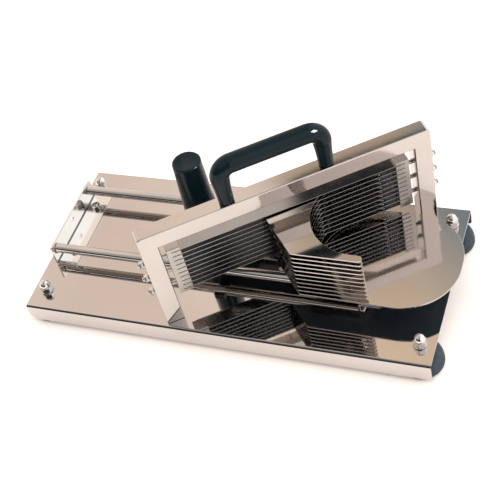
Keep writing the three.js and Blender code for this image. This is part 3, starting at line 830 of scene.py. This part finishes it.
def makeBow():
    footZ = boxOf("blade_frame")[1].z + seatGap
    half = bow["span"] / 2
    legTop = footZ + bow["rise"] - bow["bend"]
    bm = bmesh.new()
    bmesh.ops.create_circle(bm, cap_ends=True, segments=bow["steps"], radius=bow["legRadius"])
    moveBy(bm, -half, 0, footZ)
    ring = bm.edges[:]
    rise = (legTop - footZ) / len(bow["flare"])
    radius = bow["legRadius"]
    for share in bow["flare"]:
        points, ring = pullRing(bm, ring, 0, 0, rise)
        wider = bow["legRadius"] + (bow["barRadius"] - bow["legRadius"]) * share
        bmesh.ops.scale(bm, verts=points, vec=(wider / radius, wider / radius, 1),
                        space=Matrix.Translation((half, 0, 0)))
        radius = wider
    spun = bmesh.ops.spin(bm, geom=points + ring, cent=(-half + bow["bend"], 0, legTop), axis=(0, 1, 0),
                          angle=pi / 2, steps=bow["bendSteps"])
    pullRing(bm, edgesOf(spun["geom_last"]), half - bow["bend"], 0, 0)
    bmesh.ops.mirror(bm, geom=bm.verts[:] + bm.edges[:] + bm.faces[:], axis="X", merge_dist=near)
    tidy(bm)
    roundEdges(bm, sharpEdges(bm, turnedEdge), bow["foot"], bow["footSteps"])
    studs = []
    for side in (-half, half):
        stud = threaded(bow["stud"], footZ - bow["studLength"], footZ + bow["studSink"], bow["pitch"])
        moveBy(stud, side, 0, 0)
        studs.append(stud)
    bm = gather(bm, *studs)
    moveBy(bm, bow["offset"], 0, 0)
    slantInPlace(bm)
    return settle(bm, "carrying_bow", "carry_handle", "base", blackGloss, bow["crease"])


carryingBow = makeBow()
print("carrying bow made")


# Pusher: the plate stack, its carriage, slide blocks and grip

stackPlate = {"count": 10, "finger": 7.3, "tipRound": 3.5, "rearReach": 2.2, "rearRound": 1, "bayFloor": 23.2,
              "shoulder": 18, "shoulderRound": 3, "cornerRound": 6, "back": 34.6, "flank": radians(132.5),
              "edge": 0.2, "postHole": 3.9}
carriage = {"noseRound": 56, "leftEnd": -123.5, "frontStep": 40, "rearStep": 20,
            "tailRound": 10, "innerRound": 4, "edge": 0.3, "pegHole": 3.3, "gripHole": 4.4}
slideBar = {"bodyFrom": 12, "bore": 5.3, "boreReach": 60, "boreSteps": 48, "edge": 0.8, "edgeSteps": 3,
            "peg": 3, "pegSink": 1, "pegChamfer": 0.4, "pegSteps": 32, "spread": {"left": 25, "right": 36}}
plateNodes = ["pusher_plate_%02d" % (number + 1) for number in range(stackPlate["count"])]
plateFront = boxOf(plateNodes[0])[0].y
plateRear = boxOf(plateNodes[0])[1].y
plateShoulder = slantMiddle.x + stackPlate["shoulder"]
carriageLow, carriageHigh = boxOf("carriage_plate")
postSpots = [middleOf("stack_post_" + row) for row in rows]


# Where the plates' slanted back and their flank stand in X at a given Y
def backAt(y):
    start = Matrix.Rotation(slant["angle"], 2) @ Vector((0, stackPlate["back"]))
    return slantMiddle.x + start.x + (y - start.y) / tan(slant["angle"])


def flankAt(y):
    return plateShoulder + (y - plateFront) / tan(stackPlate["flank"])


def pegSpots(end):
    between = (rods[0] + rods[1]) / 2
    spread = slideBar["spread"][end]
    return [Vector((middleOf("slide_block_" + end).x, between.y + step, 0)) for step in (-spread, spread)]


def makePlate(number, node):
    low, high = boxOf(node)
    front = low.y + stackPlate["finger"]
    rear = high.y - stackPlate["finger"]
    bay = (rear - front) / 2
    floorX = slantMiddle.x + stackPlate["bayFloor"]
    slope = 1 / tan(slant["angle"]) - 1 / tan(stackPlate["flank"])
    heelY = (flankAt(0) - backAt(0)) / slope
    tip = stackPlate["tipRound"]
    rearTip = floorX + bay + stackPlate["rearReach"]
    blunt = stackPlate["rearRound"]
    bm = cutOutline([(plateShoulder, low.y, stackPlate["shoulderRound"]), (high.x, low.y, tip),
                     (high.x, front, tip), (floorX, front, bay), (floorX, rear, bay), (rearTip, rear, blunt),
                     (rearTip, high.y, blunt), (backAt(high.y), high.y, stackPlate["cornerRound"]),
                     (backAt(heelY), heelY, stackPlate["cornerRound"])])
    pull(bm, 0, 0, high.z - low.z)
    moveBy(bm, 0, 0, low.z)
    bm = cutAway(bm, *drillsAt(postSpots, stackPlate["postHole"], low.z))
    roundEdges(bm, sharpEdges(bm, sheetEdge), stackPlate["edge"])
    settle(bm, "stack_plate_%02d" % number, node, "pusher", plateSteel)


def makeCarriage():
    low, high = boxOf("carriage_plate")
    left = slantMiddle.x + carriage["leftEnd"]
    front = low.y + carriage["frontStep"]
    rear = high.y - carriage["rearStep"]
    nose = carriage["noseRound"]
    tail = carriage["tailRound"]
    bm = cutOutline([(left, front, tail), (flankAt(front), front, carriage["innerRound"]),
                     (plateShoulder, plateFront, stackPlate["shoulderRound"]), (high.x, low.y, nose),
                     (high.x, high.y, nose), (backAt(plateRear), plateRear, stackPlate["cornerRound"]),
                     (backAt(rear), rear, stackPlate["cornerRound"]), (left, rear, tail)])
    pull(bm, 0, 0, high.z - low.z)
    moveBy(bm, 0, 0, low.z)
    pegs = pegSpots("left") + pegSpots("right")
    bm = cutAway(bm, *drillsAt(postSpots, stackPlate["postHole"], low.z),
                 *drillsAt(pegs, carriage["pegHole"], low.z),
                 *drillsAt([middleOf("push_grip")], carriage["gripHole"], low.z))
    roundEdges(bm, sharpEdges(bm, sheetEdge), carriage["edge"])
    settle(bm, "carriage_sheet", "carriage_plate", "pusher", carriageSteel)


for number, node in enumerate(plateNodes, 1):
    makePlate(number, node)
makeCarriage()


def makeSlideBar(end):
    node = "slide_block_" + end
    low, high = boxOf(node)
    top = carriageLow.z - seatGap
    step = rods[0].y + slideBar["bodyFrom"]
    body = cutOutline([(low.y, rods[0].z, 0), (step, rods[0].z, 0), (step, low.z, 0), (high.y, low.z, 0),
                       (high.y, top, 0), (low.y, top, 0)])
    standAcross(body)
    pull(body, high.x - low.x, 0, 0)
    moveBy(body, low.x, 0, 0)
    roundEdges(body, sharpEdges(body), slideBar["edge"], slideBar["edgeSteps"])
    bores = []
    for rod in rods:
        bore = drill(slideBar["bore"], slideBar["boreReach"], slideBar["boreSteps"])
        layAlongX(bore)
        moveBy(bore, (low.x + high.x) / 2, rod.y, rod.z)
        bores.append(bore)
    radius = slideBar["peg"]
    chamfer = slideBar["pegChamfer"]
    pegFoot = top - slideBar["pegSink"]
    pegs = []
    for spot in pegSpots(end):
        peg = lathe([(0, pegFoot), (radius, pegFoot), (radius, high.z - chamfer), (radius - chamfer, high.z),
                     (0, high.z)], slideBar["pegSteps"])
        moveBy(peg, spot.x, spot.y, 0)
        pegs.append(peg)
    bm = gather(cutAway(body, *bores), *pegs)
    settle(bm, "slide_bar_" + end, node, "pusher", slidePlastic)


for end in ends:
    makeSlideBar(end)

pushGrip = {"top": 14.6, "rim": 1.6, "rimSteps": 6, "footChamfer": 1, "stud": 4, "dish": 0.6,
            "dishRadius": 9.5, "dishSlope": 0.8, "steps": 72, "flats": 12, "nutHeight": 5, "hexEdge": 0.5,
            "crease": 45}


def makeGrip():
    low, high = boxOf("push_grip")
    middle = (low + high) / 2
    foot = carriageHigh.z + seatGap
    widest = (high.x - low.x) / 2
    chamfer = pushGrip["footChamfer"]
    stud = pushGrip["stud"]
    rim = pushGrip["rim"]
    dish = pushGrip["dishRadius"]
    dishFloor = high.z - pushGrip["dish"]
    profile = [(0, low.z), (stud, low.z), (stud, foot), (widest - chamfer, foot), (widest, foot + chamfer)]
    for swing in swings(pushGrip["rimSteps"]):
        profile.append((pushGrip["top"] - rim * (1 - cos(swing)), high.z - rim * (1 - sin(swing))))
    profile += [(dish + pushGrip["dishSlope"], high.z), (dish, dishFloor), (0, dishFloor)]
    nutTop = carriageLow.z - seatGap
    nut = hexBar(pushGrip["flats"], nutTop - pushGrip["nutHeight"], nutTop, pushGrip["hexEdge"])
    bm = gather(lathe(profile, pushGrip["steps"]), nut)
    moveBy(bm, middle.x, middle.y, 0)
    return settle(bm, "upright_grip", "push_grip", "pusher", blackGloss, pushGrip["crease"])


uprightGrip = makeGrip()

stackPost = {"radius": 3.5, "ring": 6, "chamfer": 0.6, "steps": 40, "flats": 10, "hexHeight": 4,
             "hexEdge": 0.5}


def makePost(row):
    node = "stack_post_" + row
    low, high = boxOf(node)
    middle = (low + high) / 2
    stem = stackPost["radius"]
    ring = stackPost["ring"]
    chamfer = stackPost["chamfer"]
    profile = [(0, low.z), (stem, low.z)]
    ringFrom = carriageHigh.z + seatGap
    for plateLow, plateHigh in [boxOf(plateNode) for plateNode in plateNodes]:
        ringTo = plateLow.z - seatGap
        profile += [(stem, ringFrom), (ring, ringFrom), (ring, ringTo), (stem, ringTo)]
        ringFrom = plateHigh.z + seatGap
    hexTop = ringFrom + stackPost["hexHeight"]
    profile += [(stem, ringFrom), (stem, high.z - chamfer), (stem - chamfer, high.z), (0, high.z)]
    nut = hexBar(stackPost["flats"], ringFrom, hexTop, stackPost["hexEdge"])
    bm = gather(lathe(profile, stackPost["steps"]), nut)
    moveBy(bm, middle.x, middle.y, 0)
    settle(bm, "stack_post_stem_" + row, node, "pusher", brightScrew)


for row in rows:
    makePost(row)
print("plate stack, carriage, slides, grip and posts made")


# Floor, light and camera, in metres

paleFloor = {"size": 6, "tone": 0.84, "mottle": 0.02, "glow": (0.18, 0.155, 0.14)}


def makeFloor():
    bm = bmesh.new()
    bmesh.ops.create_grid(bm, x_segments=4, y_segments=4, size=paleFloor["size"] / 2)
    finish, tree, shader = newFinish("pale floor")
    cloud = addNoise(tree, placeOn(tree), scale=3)
    dark = paleFloor["tone"]
    light = dark + paleFloor["mottle"]
    tone = addTones(tree, cloud, (dark, dark, dark), (light, light, light))
    tree.links.new(tone, shader.inputs["Base Color"])
    shader.inputs["Roughness"].default_value = 0.9
    shader.inputs["Specular IOR Level"].default_value = 0.1
    shader.inputs["Emission Color"].default_value = (*paleFloor["glow"], 1)
    shader.inputs["Emission Strength"].default_value = 1
    mesh = meshOf(bm, "floor")
    mesh.materials.append(finish)
    floor = bpy.data.objects.new("floor", mesh)
    scene.collection.objects.link(floor)


# The room that the polished steel mirrors: heights in degrees over the horizon, then tones by degrees of turn
# from the rear towards the right. The dark band at the rear falls by lean for each degree past leanFrom
studio = {"low": (25, 35), "bandFoot": (44.3, 44.55), "bandTop": (46, 47), "lean": 0.115, "leanFrom": -22.9,
          "high": (48, 54), "zenith": (60, 70), "zenithTone": (0.50, 0.54, 0.56)}
frontTone = (0.54, 0.50, 0.47)
frontShade = (0.05, 0.06, 0.065)
leftRoom = [(-108, (0.95, 0.90, 0.86)), (-60, (1.15, 0.98, 0.87)), (-38, (1.08, 0.89, 0.77))]
rightRoom = [(34, (1.45, 1.45, 1.45)), (60, (1.5, 1.48, 1.46)), (84, (1.3, 1.27, 1.22)),
             (122, (1.45, 1.3, 1.24)), (132, (1.25, 1.12, 1.08)), (142, (1.1, 1.05, 1.05)),
             (147, (0.05, 0.055, 0.06)), (168, (0.05, 0.055, 0.06))]
plainRear = [(-31, (1.22, 1.04, 0.90)), (-28, (1.12, 0.96, 0.85)), (-26.5, (0.72, 0.57, 0.44)),
             (-18, (0.66, 0.53, 0.42)), (-14, (0.30, 0.36, 0.40)), (-8, (0.30, 0.36, 0.40)),
             (-3, (1.4, 1.4, 1.4))]
bandRear = [(-31, (1.22, 1.04, 0.90)), (-26.6, (1.12, 0.96, 0.85)), (-25.6, (0.03, 0.033, 0.036)),
            (-16, (0.03, 0.033, 0.036)), (-13, (0.26, 0.31, 0.35)), (-8, (0.30, 0.36, 0.40)),
            (-3, (1.4, 1.4, 1.4))]
highRear = [(-30, (1.12, 0.94, 0.80)), (-22, (1.02, 0.80, 0.58)), (0, (0.95, 0.80, 0.64))]


def addRoom(tree, turn, front, rear):
    stops = [(-180, front), (-126, front)] + leftRoom + rear + rightRoom + [(180, front)]
    return addRamp(tree, turn, [(degrees / 360 + 0.5, tone) for degrees, tone in stops])


def spanOf(key):
    return [radians(degrees) for degrees in studio[key]]


def makeWorld():
    world = bpy.data.worlds.new("studio")
    scene.world = world
    world.use_nodes = True
    tree = world.node_tree
    coords = addNode(tree, "ShaderNodeTexCoord")
    toward = addNode(tree, "ShaderNodeSeparateXYZ", [("Vector", coords.outputs["Generated"])]).outputs
    heading = addMath(tree, "ARCTAN2", toward["X"], toward["Y"])
    turn = addRange(tree, heading, 0, 1, (-pi, pi))
    rise = addMath(tree, "ARCSINE", toward["Z"])
    aside = addMath(tree, "ADD", heading, -radians(studio["leanFrom"]))
    level = addMath(tree, "ADD", rise, addMath(tree, "MULTIPLY", aside, studio["lean"]))
    overFoot = addRange(tree, level, 0, 1, spanOf("bandFoot"))
    underTop = addRange(tree, level, 1, 0, spanOf("bandTop"))
    inBand = addMath(tree, "MULTIPLY", overFoot, underTop)
    isLow = addRange(tree, rise, 1, 0, spanOf("low"))
    isHigh = addRange(tree, rise, 0, 1, spanOf("high"))
    isTop = addRange(tree, rise, 0, 1, spanOf("zenith"))
    room = addRoom(tree, turn, frontTone, plainRear)
    room = addMix(tree, inBand, room, addRoom(tree, turn, frontTone, bandRear))
    room = addMix(tree, isLow, room, addRoom(tree, turn, frontShade, plainRear))
    room = addMix(tree, isHigh, room, addRoom(tree, turn, frontTone, highRear))
    room = addMix(tree, isTop, room, studio["zenithTone"])
    tree.links.new(room, tree.nodes["Background"].inputs["Color"])
    tree.nodes["Background"].inputs["Strength"].default_value = 1


topSoftbox = {"spot": (0.1, -0.2, 2.4), "aim": (0, 0, 0), "size": (3, 3), "power": 64,
              "tint": (1, 0.86, 0.77), "seen": "matt"}
sideHighlight = {"spot": (1.0, -0.08, 0.88), "aim": (0.06, 0, 0.16), "size": (0.5, 0.4), "power": 56,
                 "tint": (1, 1, 1), "seen": "gloss"}


def addSoftbox(name, look):
    light = bpy.data.lights.new(name, "AREA")
    light.color = look["tint"]
    light.shape = "RECTANGLE"
    light.size, light.size_y = look["size"]
    light.energy = look["power"]
    lamp = bpy.data.objects.new(name, light)
    lamp.location = look["spot"]
    lamp.rotation_euler = (Vector(look["aim"]) - Vector(look["spot"])).to_track_quat("-Z", "Y").to_euler()
    lamp.visible_glossy = look["seen"] == "gloss"
    lamp.visible_diffuse = look["seen"] == "matt"
    scene.collection.objects.link(lamp)
    return lamp


# The side highlight falls on the black pieces only
def lightBlackPieces():
    blackPieces = bpy.data.collections.new("black pieces")
    for piece in (carryingBow, uprightGrip):
        blackPieces.objects.link(piece)
    highlight = addSoftbox("side highlight", sideHighlight)
    highlight.light_linking.receiver_collection = blackPieces


# Placed in metres and turned in degrees to match the photograph
photoCamera = {"spot": (0.38962, -0.66062, 0.86960), "turn": (41.529, 10.7783, 18.112), "lens": 79.05,
               "sensor": 36, "nearest": 0.05}


def makeCamera():
    lens = bpy.data.cameras.new("photo camera")
    lens.lens = photoCamera["lens"]
    lens.sensor_width = photoCamera["sensor"]
    lens.sensor_fit = "HORIZONTAL"
    lens.clip_start = photoCamera["nearest"]
    camera = bpy.data.objects.new("photo camera", lens)
    turn = Euler([radians(degrees) for degrees in photoCamera["turn"]])
    camera.matrix_world = Matrix.LocRotScale(Vector(photoCamera["spot"]), turn, None)
    scene.collection.objects.link(camera)
    scene.camera = camera


makeFloor()
makeWorld()
addSoftbox("top softbox", topSoftbox)
lightBlackPieces()
makeCamera()
scene.view_settings.view_transform = "Standard"
print("floor, light and camera set")
